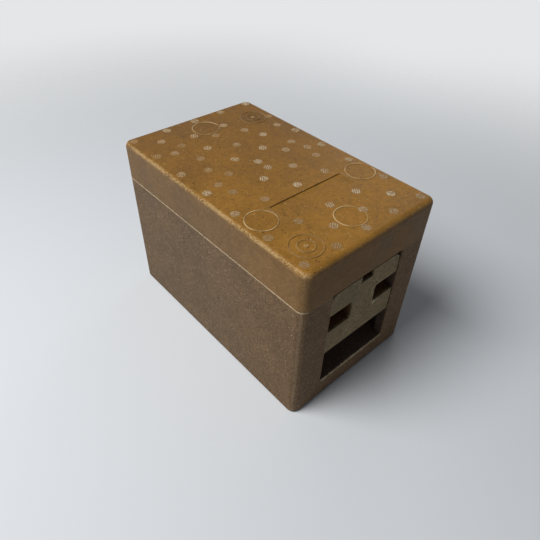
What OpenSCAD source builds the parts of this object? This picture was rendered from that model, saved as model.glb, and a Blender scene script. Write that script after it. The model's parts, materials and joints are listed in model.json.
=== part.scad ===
// Mating nuc box: a moulded-foam body and lift-off lid, a foam entrance slide, and the fittings inside.
// Millimetres. +Z is up, the entrance faces -Y, and the origin is under the middle of the base.

/* [Box] */
// Outside width, across the entrance
box_w = 154; // [146:1:180]
// Outside length, front to back
box_l = 250; // [246:1:300]
// Height of the body, from the base to the joint line under the lid
body_h = 133; // [126:1:160]
// Thickness of the side walls and the rear wall
wall_t = 22; // [18:1:26]
// Thickness of the front wall, which holds the entrance
front_t = 27; // [25:0.5:34]
// Thickness of the floor
floor_t = 22; // [15:1:28]
// Radius of the upright outside corners
corner_r = 8; // [6:0.5:12]
// Radius of the edge round the base
base_edge_r = 3; // [1:0.5:5]
// Radius of the two small edges that meet at the joint line
joint_edge_r = 0.8; // [0.3:0.1:1.5]
// Radius of the upright corners inside
inner_r = 6; // [4:0.5:10]

/* [Lid] */
// Height of the lid above the joint line
lid_h = 38; // [34:1:60]
// Radius of the lid's top edge
lid_edge_r = 5; // [2:0.5:5.5]
// Thickness of the roof over the lid's hollow
roof_t = 20; // [12:1:28]
// Depth of the plug that drops into the body
plug_h = 8; // [4:0.5:9]
// Thickness of the plug's rim
plug_t = 12; // [8:1:20]
// Radius of the upright corners in the lid's hollow
hollow_r = 8; // [4:0.5:14]
// Clearance all round the plug
plug_gap = 0.6; // [0.3:0.1:1.5]
// Width of the bare recessed panel on the lid
panel_w = 85; // [60:1:90]
// Length of the panel, front to back
panel_l = 19; // [14:1:24]
// Depth of the panel
panel_d = 0.9; // [0.6:0.1:2]
// Radius of the panel's corners
panel_r = 3; // [1:0.5:5]
// Distance of the panel's middle from the front edge
panel_from_front = 69; // [66:1:80]
// Radius of the mould's plain rings, at the middle of the ridge
ring_r = 13.5; // [11:0.5:14]
// Distance of the two side rings from the box's sides
ring_side_inset = 19; // [16:0.5:20]
// Distance of the two end rings from the box's ends
ring_end_inset = 29; // [20:0.5:34]
// Distance of the bead-injector marks from the box's sides
injector_side_inset = 24; // [20:0.5:30]
// Distance of the rear bead-injector mark from the box's rear
injector_rear_inset = 39; // [22:0.5:42]
// Distance of the front bead-injector mark from the box's front
injector_front_inset = 25; // [22:0.5:34]
// Radius of the small ring in a bead-injector mark
injector_r = 7; // [4:0.5:9]
// Radius of the stub in the middle of a bead-injector mark
injector_stub_r = 2; // [1:0.5:3]
// Width of a ring's ridge
ridge_w = 0.8; // [0.6:0.1:1.6]
// Height of a ring's ridge
ridge_h = 0.4; // [0.2:0.1:0.8]

/* [Entrance] */
// Width of the entrance channel at the front face
port_w = 87; // [76:1:92]
// Height of the opening under the raised door
port_h = 38; // [30:1:44]
// Thickness of the front lips that hold the door in
lip_t = 9.5; // [8:0.5:12]
// How far the groove behind the lips reaches past the channel on each side
groove_d = 7.5; // [4:0.5:9]
// Front-to-back size of the groove
groove_t = 10.5; // [8:0.5:11]
// Radius of the opening's front edges
port_edge_r = 1.5; // [0.5:0.1:3]
// How far the door's face lies behind the box's face
door_recess = 1.5; // [0.5:0.1:3]
// Sliding clearance at the door's sides
door_side_gap = 1; // [0.4:0.1:1.5]
// Sliding clearance in front of and behind the door's flange
door_face_gap = 0.3; // [0.2:0.1:0.8]
// Room between the raised door and the lid
door_headroom = 3.5; // [0.5:0.5:5]
// Clearance under the lowered door
door_foot_gap = 0.5; // [0.3:0.1:1]
// Radius of the door's top corners
door_corner_r = 8; // [3:0.5:16]
// Width of the web between the finger notches
web_w = 28.5; // [24:0.5:36]
// Height of a finger notch
grip_h = 20; // [16:1:24]
// Depth of a finger notch, from the door's face
grip_d = 15; // [11:0.5:16]
// Height of the door below its finger notches
grip_from_bottom = 26.5; // [18:0.5:28]
// Radius of a finger notch's corners
grip_r = 3; // [1:0.5:5]
// Width of the flight hole and of the notch in the door's top
flight_w = 15; // [10:1:20]
// Height of the flight hole and of that notch
flight_h = 7; // [6:0.5:11]

/* [Ventilation grid] */
// Thickness of the grid
grid_t = 2; // [1:0.2:3]
// How far the grid lies behind the groove's rear face
grid_recess = 0.2; // [0.1:0.1:0.6]
// Width of the grid's plain border
grid_border = 4; // [3:0.5:6]
// Clearance round the grid's edge
grid_gap = 0.3; // [0.1:0.1:0.6]
// Width of a slit in the grid, too narrow for a bee
grid_slot_w = 1.8; // [1:0.1:2.4]
// Distance from slit to slit
grid_pitch = 3.6; // [3.2:0.1:6]
// Height of the bar across the middle of the grid
grid_rail = 3; // [2:0.5:5]

/* [Top bars] */
// Passage beside each bar: to the next bar, the front wall or the trough
bar_spacing = 9; // [6:0.5:12]
// Thickness of a bar
bar_t = 9; // [8:0.5:11]
// Chamfer along a bar's top edges
bar_chamfer = 0.8; // [0.3:0.1:1.5]
// Depth of the pockets in the side walls that the bars rest in
pocket_d = 7; // [4:0.5:10]
// Clearance round a bar in its pocket
bar_gap = 0.5; // [0.3:0.1:1]
// Space between the bars and the lid's plug
bar_headroom = 4; // [2:0.5:6]
// Clearance on each side of a starter strip in its saw kerf
kerf_gap = 0.1; // [0.05:0.05:0.4]
// Depth of the kerf
kerf_d = 4; // [3:0.5:5]
// Thickness of a starter strip
strip_t = 1.2; // [0.8:0.1:2]
// Space between a starter strip's ends and the side walls
strip_end_gap = 7; // [4:0.5:20]
// How far a starter strip hangs below its bar
strip_drop = 20; // [10:1:40]
// Thickness of the clear cover sheet
sheet_t = 0.8; // [0.5:0.1:1.5]
// Clearance round the cover sheet
sheet_gap = 1; // [0.5:0.1:2]

/* [Feeder] */
// Length of the trough, front to back
feeder_l = 60; // [50:1:64]
// Thickness of the trough's walls and floor
feeder_t = 2; // [1.5:0.1:3]
// Clearance between the trough and the box
feeder_gap = 0.6; // [0.3:0.1:1.5]
// Passage for the bees between the excluder and the cover sheet
bee_space = 6; // [5:0.5:8]
// Thickness of the excluder
excluder_t = 2; // [1.5:0.1:3]
// Width of the excluder's side ribs, which carry the sheet
excluder_rib_w = 3; // [2:0.5:5]
// Depth of the lip that keeps the excluder on the trough
excluder_lip_h = 2; // [1:0.5:4]
// Clearance of that lip inside the trough
excluder_lip_gap = 0.4; // [0.2:0.1:0.8]
// Width of a slot that lets workers through
excluder_slot_w = 4.2; // [4:0.1:4.4]
// Distance from slot to slot
excluder_pitch = 7; // [6.5:0.1:9]
// Plain border between the slots and the lip
excluder_border = 3; // [1:0.5:6]
// Width of the bar between the two rows of slots
excluder_bridge = 6; // [3:0.5:12]
// Thickness of the float
float_t = 6; // [4:0.5:10]
// Clearance round the float
float_gap = 1.5; // [1:0.1:3]
// Width of a slot in the float
float_slot_w = 5; // [4:0.5:6]
// Distance from slot to slot in the float
float_pitch = 10; // [9:0.5:14]
// Plain border round the float's slots
float_border = 6; // [4:0.5:10]

/* [Hidden] */
$fn = 96;

// A cut runs this far past the face it opens through
past = 1;
// A piece that is joined to another reaches this far into it
bite = 2;

// Box
box_front = -box_l / 2;
inner_w = box_w - 2 * wall_t;
inner_front = box_front + front_t;
inner_rear = box_l / 2 - wall_t;
inner_l = inner_rear - inner_front;
inner_mid = (inner_front + inner_rear) / 2;
// The lid's top edge stays inside the round of the upright corners
least_core = 0.5;
lid_round = min(lid_edge_r, corner_r - least_core);

// Lid
lid_top = body_h + lid_h;
plug_w = inner_w - 2 * plug_gap;
plug_l = inner_l - 2 * plug_gap;
plug_bottom = body_h - plug_h;
ring_side_x = box_w / 2 - ring_side_inset;
ring_end_y = box_l / 2 - ring_end_inset;
injector_x = box_w / 2 - injector_side_inset;
panel_y = box_front + panel_from_front;
plain_rings = [
    [0, ring_end_y], [0, -ring_end_y], [-ring_side_x, panel_y], [ring_side_x, panel_y]
];
injector_marks = [
    [injector_x, box_l / 2 - injector_rear_inset], [-injector_x, box_front + injector_front_inset]
];

// Entrance
groove_w = port_w + 2 * groove_d;
groove_front = box_front + lip_t;
groove_rear = groove_front + groove_t;
door_front = box_front + door_recess;
door_top = body_h - door_headroom;
door_bottom = floor_t + port_h + door_foot_gap;
door_h = door_top - door_bottom;
door_travel = port_h;
slab_w = port_w - 2 * door_side_gap;
flange_w = groove_w - 2 * door_side_gap;
flange_front = groove_front + door_face_gap;
flange_rear = groove_rear - door_face_gap;
grip_bottom = door_bottom + grip_from_bottom;
grip_w = (port_w - web_w) / 2;
// The flight hole lies behind the door's notch when the door is down
flight_bottom = door_top - door_travel - flight_h;
grid_seat_d = grid_t + grid_recess;
window_w = port_w - 2 * grid_border;
window_h = port_h - 2 * grid_border;
window_bottom = floor_t + grid_border;

// Top bars
bar_top = plug_bottom - bar_headroom;
bar_bottom = bar_top - bar_t;
bar_l = inner_w + 2 * (pocket_d - bar_gap);
kerf_w = strip_t + 2 * kerf_gap;
strip_l = inner_w - 2 * strip_end_gap;
BAR_COUNT = 4;
feeder_front = inner_rear - feeder_gap - feeder_l;
bar_pitch = (feeder_front - inner_front - bar_spacing) / BAR_COUNT;
bar_w = bar_pitch - bar_spacing;
function bar_y(index) = inner_front + bar_spacing + bar_w / 2 + (index - 1) * bar_pitch;

// Feeder
feeder_w = inner_w - 2 * feeder_gap;
feeder_mid = feeder_front + feeder_l / 2;
feeder_r = inner_r - feeder_gap;
excluder_bottom = bar_top - bee_space - excluder_t;
float_bottom = floor_t + feeder_t;
tub_w = feeder_w - 2 * feeder_t;
tub_l = feeder_l - 2 * feeder_t;
least_tub_r = 1;
tub_r = max(feeder_r - feeder_t, least_tub_r);

// How many slots of a pitch fit side by side in a width
function slot_count(width, pitch, slot_w) = floor((width + pitch - slot_w) / pitch);

// A rectangle with round corners, in the middle of the plane
module rounded_plan(w, l, r) {
    square([w - 2 * r, l], center = true);
    square([w, l - 2 * r], center = true);
    for (x = [-1, 1], y = [-1, 1])
        translate([x * (w / 2 - r), y * (l / 2 - r)])
            circle(r);
}

// A plate or block with round upright corners, standing on z
module rounded_plate(w, l, r, y, z, h) {
    translate([0, y, z])
        linear_extrude(h)
            rounded_plan(w, l, r);
}

// What a round of radius r takes off a square corner at the origin
module corner_waste(r) {
    translate([-r, -r])
        difference() {
            square(2 * r);
            circle(r);
        }
}

// Section through one edge of a block: top_r and foot_r round its outer corners
module edge_section(depth, h, top_r, foot_r) {
    difference() {
        square([depth, h]);
        translate([depth, h])
            corner_waste(top_r);
        translate([depth, 0])
            mirror([0, 1])
                corner_waste(foot_r);
    }
}

// A block whose upright corners, top edge and foot edge are all round
module rounded_block(w, l, h, r, top_r, foot_r) {
    run_x = w - 2 * r;
    run_y = l - 2 * r;
    translate([-run_x / 2, -run_y / 2, 0])
        cube([run_x, run_y, h]);
    for (turn = [0, 180])
        rotate(turn)
            edge_strip(run_x / 2, run_y, r, h, top_r, foot_r);
    for (turn = [90, 270])
        rotate(turn)
            edge_strip(run_y / 2, run_x, r, h, top_r, foot_r);
    for (corner = [[1, 1, 0], [-1, 1, 90], [-1, -1, 180], [1, -1, 270]])
        translate([corner[0] * run_x / 2, corner[1] * run_y / 2, 0])
            rotate(corner[2])
                rotate_extrude(angle = 90)
                    edge_section(r, h, top_r, foot_r);
}

// One straight edge of such a block, on the +X side
module edge_strip(offset, run, r, h, top_r, foot_r) {
    translate([offset, run / 2, 0])
        rotate([90, 0, 0])
            linear_extrude(run)
                edge_section(r, h, top_r, foot_r);
}

// A ring-shaped ridge on the lid's top
module ridge_ring(place, r) {
    translate([place[0], place[1], lid_top - bite])
        rotate_extrude()
            translate([r - ridge_w / 2, 0])
                square([ridge_w, bite + ridge_h]);
}

// Rows of slots through a plate that lies flat: count_x across, two rows along
module slot_rows(count_x, pitch, slot_w, slot_l, bridge, z, h) {
    for (column = [0 : count_x - 1], row = [-1, 1])
        translate([
            (column - (count_x - 1) / 2) * pitch - slot_w / 2,
            row * (slot_l + bridge) / 2 - slot_l / 2,
            z
        ])
            cube([slot_w, slot_l, h]);
}

module hive_body() {
    color("#6e6253")
        difference() {
            rounded_block(box_w, box_l, body_h, corner_r, joint_edge_r, base_edge_r);
            rounded_plate(inner_w, inner_l, inner_r, inner_mid, floor_t, body_h);
            for (index = [1 : BAR_COUNT], side = [-1, 1])
                bar_pocket(bar_y(index), side);
            entrance_channel();
            entrance_edges();
            grid_seat();
            flight_hole();
        }
}

// Pocket for one end of a bar, open at the top of the wall
module bar_pocket(y, side) {
    reach = inner_w / 2 + pocket_d;
    width = bar_w + 2 * bar_gap;
    mirror([side < 0 ? 1 : 0, 0, 0])
        translate([0, y - width / 2, bar_bottom])
            cube([reach, width, body_h]);
}

// Channel between the front lips, and the wider groove behind them
module entrance_channel() {
    translate([-port_w / 2, box_front - past, floor_t])
        cube([port_w, lip_t + 2 * past, body_h]);
    translate([-groove_w / 2, groove_front, floor_t])
        cube([groove_w, groove_t, body_h]);
}

// Rounds on the front edges of the opening: both jambs, then the sill
module entrance_edges() {
    for (side = [0, 1])
        mirror([side, 0, 0])
            translate([port_w / 2, box_front, floor_t])
                linear_extrude(body_h)
                    rotate(180)
                        corner_waste(port_edge_r);
    translate([-port_w / 2, box_front, floor_t])
        rotate([90, 0, 90])
            linear_extrude(port_w)
                mirror([1, 0])
                    corner_waste(port_edge_r);
}

// Shallow seat for the ventilation grid, and the window behind it
module grid_seat() {
    translate([-port_w / 2, groove_rear - past, floor_t])
        cube([port_w, grid_seat_d + past, port_h]);
    translate([-window_w / 2, groove_rear, window_bottom])
        cube([window_w, front_t, window_h]);
}

module flight_hole() {
    translate([-flight_w / 2, groove_rear - past, flight_bottom])
        cube([flight_w, front_t, flight_h]);
}

module lid() {
    color("#8f6a37")
        difference() {
            union() {
                translate([0, 0, body_h])
                    rounded_block(box_w, box_l, lid_h, corner_r, lid_round, joint_edge_r);
                rounded_plate(plug_w, plug_l, inner_r, inner_mid, plug_bottom, plug_h + bite);
                for (place = plain_rings)
                    ridge_ring(place, ring_r);
                for (place = injector_marks)
                    injector_mark(place);
            }
            lid_hollow();
            rounded_plate(panel_w, panel_l, panel_r, panel_y, lid_top - panel_d, panel_d + past);
        }
}

// Mark of the nozzle that fills the mould with beads: two rings and a middle stub
module injector_mark(place) {
    ridge_ring(place, ring_r);
    ridge_ring(place, injector_r);
    translate([place[0], place[1], lid_top - bite])
        cylinder(r = injector_stub_r, h = bite + ridge_h);
}

module lid_hollow() {
    rounded_plate(
        plug_w - 2 * plug_t, plug_l - 2 * plug_t, hollow_r,
        inner_mid, plug_bottom - past, lid_top - roof_t - plug_bottom + past
    );
}

module entrance_door() {
    color("#85745a")
        difference() {
            union() {
                door_panel(slab_w, door_front, flange_front + bite);
                door_panel(flange_w, flange_front, flange_rear);
            }
            for (side = [-1, 1])
                finger_notch(side);
            translate([-flight_w / 2, door_front - past, door_top - flight_h])
                cube([flight_w, flange_rear - door_front + 2 * past, flight_h + past]);
        }
}

// An upright panel between two depths, with its two top corners round
module door_panel(w, from_y, to_y) {
    r = door_corner_r;
    translate([0, to_y, door_bottom])
        rotate([90, 0, 0])
            linear_extrude(to_y - from_y) {
                translate([-w / 2, 0])
                    square([w, door_h - r]);
                translate([-(w / 2 - r), 0])
                    square([w - 2 * r, door_h]);
                for (x = [-1, 1])
                    translate([x * (w / 2 - r), door_h - r])
                        circle(r);
            }
}

// Notch for the fingers, open at the door's edge and round at its inner corners
module finger_notch(side) {
    mirror([side < 0 ? 1 : 0, 0, 0])
        translate([web_w / 2 + grip_w / 2, door_front + grip_d, grip_bottom + grip_h / 2])
            rotate([90, 0, 0])
                linear_extrude(grip_d + past) {
                    rounded_plan(grip_w, grip_h, grip_r);
                    translate([0, -grip_h / 2])
                        square([grip_w / 2, grip_h]);
                }
}

module vent_grid() {
    plate_w = port_w - 2 * grid_gap;
    plate_h = port_h - grid_gap;
    slot_h = (window_h - grid_rail) / 2;
    count = slot_count(window_w, grid_pitch, grid_slot_w);
    color("#3a3a38")
        translate([0, groove_rear + grid_seat_d, 0])
            rotate([90, 0, 0])
                difference() {
                    translate([-plate_w / 2, floor_t, 0])
                        cube([plate_w, plate_h, grid_t]);
                    translate([0, window_bottom + window_h / 2, 0])
                        slot_rows(
                            count, grid_pitch, grid_slot_w, slot_h,
                            grid_rail, -past, grid_t + 2 * past
                        );
                }
}

module cover_sheet() {
    color("#dfe8ea", 0.4)
        rounded_plate(
            inner_w - 2 * sheet_gap, inner_l - 2 * sheet_gap, inner_r,
            inner_mid, bar_top, sheet_t
        );
}

// A plain strip of wood, chamfered on top, with a saw kerf along its underside
module top_bar(index) {
    half = bar_w / 2;
    color("#c9a672")
        translate([-bar_l / 2, bar_y(index), bar_bottom])
            rotate([90, 0, 90])
                linear_extrude(bar_l)
                    difference() {
                        polygon([
                            [-half, 0], [half, 0],
                            [half, bar_t - bar_chamfer], [half - bar_chamfer, bar_t],
                            [bar_chamfer - half, bar_t], [-half, bar_t - bar_chamfer]
                        ]);
                        translate([-kerf_w / 2, -past])
                            square([kerf_w, kerf_d + past]);
                    }
}

module starter_strip(index) {
    color("#d9b24c")
        translate([-strip_l / 2, bar_y(index) - strip_t / 2, bar_bottom - strip_drop])
            cube([strip_l, strip_t, strip_drop + kerf_d]);
}

module feeder_trough() {
    color("#e4e2d8")
        difference() {
            rounded_plate(feeder_w, feeder_l, feeder_r, feeder_mid, floor_t, excluder_bottom - floor_t);
            rounded_plate(tub_w, tub_l, tub_r, feeder_mid, float_bottom, body_h);
        }
}

module feeder_excluder() {
    lip_w = tub_w - 2 * excluder_lip_gap;
    lip_l = tub_l - 2 * excluder_lip_gap;
    lip_bottom = excluder_bottom - excluder_lip_h;
    slots_w = lip_w - 2 * (feeder_t + excluder_border);
    slots_l = lip_l - 2 * (feeder_t + excluder_border);
    count = slot_count(slots_w, excluder_pitch, excluder_slot_w);
    rib_l = feeder_l - 2 * feeder_r;
    color("#d8d6cc")
        difference() {
            union() {
                rounded_plate(feeder_w, feeder_l, feeder_r, feeder_mid, excluder_bottom, excluder_t);
                excluder_lip(lip_w, lip_l, lip_bottom);
                for (side = [-1, 1])
                    translate([
                        side * (feeder_w - excluder_rib_w) / 2 - excluder_rib_w / 2,
                        feeder_mid - rib_l / 2,
                        excluder_bottom
                    ])
                        cube([excluder_rib_w, rib_l, bar_top - excluder_bottom]);
            }
            translate([0, feeder_mid, 0])
                slot_rows(
                    count, excluder_pitch, excluder_slot_w, (slots_l - excluder_bridge) / 2,
                    excluder_bridge, lip_bottom - past, body_h
                );
        }
}

// Rim under the excluder that sits inside the trough
module excluder_lip(w, l, bottom) {
    difference() {
        rounded_plate(w, l, tub_r, feeder_mid, bottom, excluder_lip_h + excluder_t / 2);
        rounded_plate(
            w - 2 * feeder_t, l - 2 * feeder_t, tub_r,
            feeder_mid, bottom - past, excluder_lip_h + past
        );
    }
}

module feeder_float() {
    w = tub_w - 2 * float_gap;
    l = tub_l - 2 * float_gap;
    slot_l = (l - 3 * float_border) / 2;
    count = slot_count(w - 2 * float_border, float_pitch, float_slot_w);
    color("#cfcdc2")
        difference() {
            rounded_plate(w, l, tub_r, feeder_mid, float_bottom, float_t);
            translate([0, feeder_mid, 0])
                slot_rows(
                    count, float_pitch, float_slot_w, slot_l,
                    float_border, float_bottom - past, float_t + 2 * past
                );
        }
}

hive_body();
lid();
entrance_door();
vent_grid();
cover_sheet();
top_bar(1);  // top_bar_1
top_bar(2);  // top_bar_2
top_bar(3);  // top_bar_3
top_bar(4);  // top_bar_4
starter_strip(1);  // starter_strip_1
starter_strip(2);  // starter_strip_2
starter_strip(3);  // starter_strip_3
starter_strip(4);  // starter_strip_4
feeder_trough();
feeder_excluder();
feeder_float();
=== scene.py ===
# %% [markdown]
# # A moulded-foam mating nuc
# A mating nuc is a very small beehive in which a young queen stays until she has mated. This one is moulded
# from plastic foam: beads of it are blown into a steel mould and steamed until they stick together. The
# lesson dresses a CAD model of the box. The solids already have the right shapes and sizes, so most of the
# work is in the finishes: beads, specks, rubbed edges, and the marks that the mould leaves on the lid.

# %% Load the frame
import json
import math
import random

import bmesh
import bpy
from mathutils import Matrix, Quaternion, Vector


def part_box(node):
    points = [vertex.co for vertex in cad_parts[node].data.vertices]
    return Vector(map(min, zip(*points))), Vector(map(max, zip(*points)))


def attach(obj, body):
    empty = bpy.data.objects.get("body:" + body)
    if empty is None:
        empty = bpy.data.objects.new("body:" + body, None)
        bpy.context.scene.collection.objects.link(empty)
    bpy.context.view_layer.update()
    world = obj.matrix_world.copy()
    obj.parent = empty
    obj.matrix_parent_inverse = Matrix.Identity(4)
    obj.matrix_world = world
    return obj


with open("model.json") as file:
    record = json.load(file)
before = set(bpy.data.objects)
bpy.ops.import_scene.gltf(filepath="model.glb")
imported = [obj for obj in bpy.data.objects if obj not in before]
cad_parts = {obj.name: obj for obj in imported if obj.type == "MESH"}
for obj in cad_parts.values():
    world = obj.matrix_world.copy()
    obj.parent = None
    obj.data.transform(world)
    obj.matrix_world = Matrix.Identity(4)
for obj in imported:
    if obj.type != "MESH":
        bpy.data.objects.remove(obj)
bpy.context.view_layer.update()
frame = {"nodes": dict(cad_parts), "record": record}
MM = 0.001

# %% [markdown]
# ## The camera
# The photograph looks down on the near left corner from about arm's length. Its place was worked out from
# the corners of the box, so the numbers are written as found: where the eye is, what it looks at, how far
# the camera leans, and the lens. A track quaternion turns a direction into a camera's rotation.

# %% Place the camera
EYE = Vector((-0.2578, -0.2821, 0.3940))
AIM = Vector((-0.0258, -0.0332, 0.0850))
LEAN_DEGREES = 2.13
LENS_MM = 32.35

camera_data = bpy.data.cameras.new("camera")
camera_data.lens = LENS_MM
camera = bpy.data.objects.new("camera", camera_data)
camera.location = EYE
camera.rotation_mode = "QUATERNION"
lean = Quaternion((0, 0, 1), math.radians(LEAN_DEGREES))
camera.rotation_quaternion = (AIM - EYE).to_track_quat("-Z", "Y") @ lean
bpy.context.scene.collection.objects.link(camera)
bpy.context.scene.camera = camera
bpy.context.scene.view_settings.view_transform = "Standard"
print("camera is", round((AIM - EYE).length, 3), "m from what it looks at")

# %% [markdown]
# ## Light
# Foam looks best in soft light, because a hard lamp would turn every bead into a highlight. A large lamp
# high on the left lights the lid and the long wall and leaves the entrance in shade, as in the photograph. A
# smaller one, low on the right and behind, lights the far walls and puts a glint on the mould's rings.

# %% Light the scene
LAMPS = {
    "key": {"at": (-0.68, 0.20, 1.12), "size": 0.75, "watts": 17.8},
    "glint": {"at": (1.0, 0.5, 0.32), "size": 0.5, "watts": 2.0},
}
LIT_POINT = Vector((0, 0, 0.1))
for name, lamp in LAMPS.items():
    data = bpy.data.lights.new(name, "AREA")
    data.shape = "DISK"
    data.size = lamp["size"]
    data.energy = lamp["watts"]
    light = bpy.data.objects.new(name, data)
    light.location = lamp["at"]
    light.rotation_euler = (LIT_POINT - light.location).to_track_quat("-Z", "Y").to_euler()
    bpy.context.scene.collection.objects.link(light)
print("lamps:", ", ".join(LAMPS))

# %% [markdown]
# The world gives the even light of a room. Past the floor's edge, the camera sees a pale grey instead, and so
# do reflections and whatever lies behind the clear sheet. The Light Path node tells those rays from the ones
# that carry the room's light to dull surfaces.

# %% Set up the world
ROOM_LIGHT = (0.80, 0.88, 1.0, 1)
ROOM_STRENGTH = 0.10
BACKDROP = (0.78, 0.79, 0.80, 1)
world = bpy.data.worlds.new("room")
bpy.context.scene.world = world
world.use_nodes = True
room = world.node_tree
room.nodes.clear()
seen = room.nodes.new("ShaderNodeBackground")
seen.inputs["Color"].default_value = BACKDROP
lit = room.nodes.new("ShaderNodeBackground")
lit.inputs["Color"].default_value = ROOM_LIGHT
lit.inputs["Strength"].default_value = ROOM_STRENGTH
ray = room.nodes.new("ShaderNodeLightPath")
choose = room.nodes.new("ShaderNodeMixShader")
room_out = room.nodes.new("ShaderNodeOutputWorld")
backdrop_rays = ray.outputs["Is Camera Ray"]
for kind in ("Is Glossy Ray", "Is Transmission Ray"):
    either = room.nodes.new("ShaderNodeMath")
    either.operation = "MAXIMUM"
    room.links.new(backdrop_rays, either.inputs[0])
    room.links.new(ray.outputs[kind], either.inputs[1])
    backdrop_rays = either.outputs[0]
room.links.new(backdrop_rays, choose.inputs[0])
room.links.new(lit.outputs[0], choose.inputs[1])
room.links.new(seen.outputs[0], choose.inputs[2])
room.links.new(choose.outputs[0], room_out.inputs["Surface"])
print("room light", ROOM_STRENGTH)

# %% [markdown]
# ## Small helpers for node trees
# A material is a graph of nodes. Written out in full, each node takes four or five lines, so two helpers
# keep the recipes short: `add` makes a node and fills its sockets, and `feed` either sets a socket to a
# plain value or links it to another node's output.

# %% Make and fill nodes
def feed(tree, socket, value):
    """Links a socket to another node's output, or sets it to a plain value."""
    if isinstance(value, bpy.types.NodeSocket):
        tree.links.new(value, socket)
    else:
        socket.default_value = value


def add(tree, kind, settings=(), **sockets):
    """Makes a shader node. settings are its properties; sockets are inputs, with _ for a space."""
    made = tree.nodes.new("ShaderNode" + kind)
    for name, value in dict(settings).items():
        setattr(made, name, value)
    for name, value in sockets.items():
        feed(tree, made.inputs[name.replace("_", " ")], value)
    return made


print("node helpers:", feed.__name__, add.__name__)

# %% [markdown]
# Most of a recipe is arithmetic on masks, which are values from 0 to 1 over the surface. Each helper here
# makes the nodes of one step and gives the output socket, so that steps can be written inside each other.
# The most used one is `rescale`. A named pair of numbers in this lesson is the span over which a mask
# changes, and where there are four, the other two are what it changes from and to.

# %% Arithmetic with nodes
def maths(tree, operation, first, second=0.0):
    """One step of arithmetic on values."""
    made = add(tree, "Math", {"operation": operation})
    feed(tree, made.inputs[0], first)
    feed(tree, made.inputs[1], second)
    return made.outputs[0]


def vector_maths(tree, operation, first, second):
    """One step of arithmetic on vectors. Only a distance is a plain value."""
    made = add(tree, "VectorMath", {"operation": operation})
    feed(tree, made.inputs[0], first)
    feed(tree, made.inputs[1], second)
    return made.outputs["Value" if operation == "DISTANCE" else "Vector"]


def times(tree, first, *others):
    """The product of two or more values."""
    for other in others:
        first = maths(tree, "MULTIPLY", first, other)
    return first


def rescale(tree, value, low, high, to_low=0.0, to_high=1.0):
    """A smooth step from to_low to to_high while value goes from low to high."""
    made = add(tree, "MapRange", {"interpolation_type": "SMOOTHSTEP"}, Value=value, From_Min=low,
               From_Max=high, To_Min=to_low, To_Max=to_high)
    return made.outputs["Result"]


def fade(tree, value, start, end, strength=1.0):
    """strength until value reaches start, then smoothly down to nothing at end."""
    return rescale(tree, value, start, end, strength, 0.0)


def separate(tree, vector):
    """The X, Y and Z sockets of a vector."""
    return add(tree, "SeparateXYZ", Vector=vector).outputs


print("arithmetic helpers:", maths.__name__, vector_maths.__name__, times.__name__, rescale.__name__)

# %% [markdown]
# Colours are written as they look on screen, 0 to 255, because that is how a picture shows them. Shaders
# count light instead, so `screen_colour` turns one into the other.

# %% Colours with nodes
def screen_colour(red, green, blue):
    """A colour as it looks on screen, turned into the linear values that shaders use."""
    linear = []
    for value in (red / 255, green / 255, blue / 255):
        linear.append(value / 12.92 if value <= 0.04045 else ((value + 0.055) / 1.055) ** 2.4)
    return (*linear, 1.0)


def blend_colour(tree, share, first, second, how="MIX"):
    """Mixes two colours: the share says how much of the second one."""
    made = add(tree, "Mix", {"data_type": "RGBA", "blend_type": how})
    for index, value in ((0, share), (6, first), (7, second)):
        feed(tree, made.inputs[index], value)
    return made.outputs[2]


def shaded(tree, colour, shade):
    """A colour made darker or lighter by a factor."""
    grey = add(tree, "CombineColor", Red=shade, Green=shade, Blue=shade)
    return blend_colour(tree, 1.0, colour, grey.outputs[0], "MULTIPLY")


print("mid grey on screen is", round(screen_colour(128, 128, 128)[0], 3), "to a shader")

# %% [markdown]
# ## Effects that several finishes share
# Beads, specks, rubbed edges and soil appear on more than one piece, so each is a node group: a small
# graph with named inputs and outputs that a material can place with its own values. The groups give out
# only masks, tones and heights. The shader itself stays in the material.

# %% A frame for node groups
def effect_group(name, inputs, outputs):
    """An empty node group. inputs are {name: default}, where None stands for a vector; outputs are names."""
    tree = bpy.data.node_groups.new(name, "ShaderNodeTree")
    for label, default in inputs.items():
        kind = "NodeSocketVector" if default is None else "NodeSocketFloat"
        socket = tree.interface.new_socket(label, in_out="INPUT", socket_type=kind)
        if default is not None:
            socket.default_value = default
    for label in outputs:
        tree.interface.new_socket(label, in_out="OUTPUT", socket_type="NodeSocketFloat")
    came_in = tree.nodes.new("NodeGroupInput")
    goes_out = tree.nodes.new("NodeGroupOutput")
    return tree, came_in.outputs, goes_out.inputs


def place_effect(tree, group, **inputs):
    """Puts an effect in a material and gives its outputs."""
    made = add(tree, "Group", {"node_tree": group}, **inputs)
    return made.outputs


print("node groups so far:", len(bpy.data.node_groups))

# %% [markdown]
# Every effect is placed by a point in millimetres on the piece, so it keeps its real size and moves with the
# piece. Dividing that point by a size makes the cells of a texture that big. All sizes in the finishes are in
# millimetres. Shares, spans of noise and spans of facing have no unit.

# %% Textures in real sizes
NOISE_SPAN = (0.3, 0.7)


def per_mm(tree, place, size):
    """The place divided by a size in millimetres."""
    made = add(tree, "VectorMath", {"operation": "SCALE"}, Scale=maths(tree, "DIVIDE", 1.0, size))
    feed(tree, made.inputs[0], place)
    return made.outputs["Vector"]


def noise(tree, place, size, detail=1.0, roughness=0.5):
    """Noise with patches of about size millimetres. Nearly all its values lie within NOISE_SPAN."""
    made = add(tree, "TexNoise", Vector=per_mm(tree, place, size), Scale=1.0, Detail=detail,
               Roughness=roughness)
    return made.outputs[0]


def own_axes(tree, normal):
    """A normal turned from the world's axes to the piece's own, so that it too moves with the piece."""
    made = add(tree, "VectorTransform",
               {"vector_type": "NORMAL", "convert_from": "WORLD", "convert_to": "OBJECT"}, Vector=normal)
    return made.outputs[0]


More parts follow.
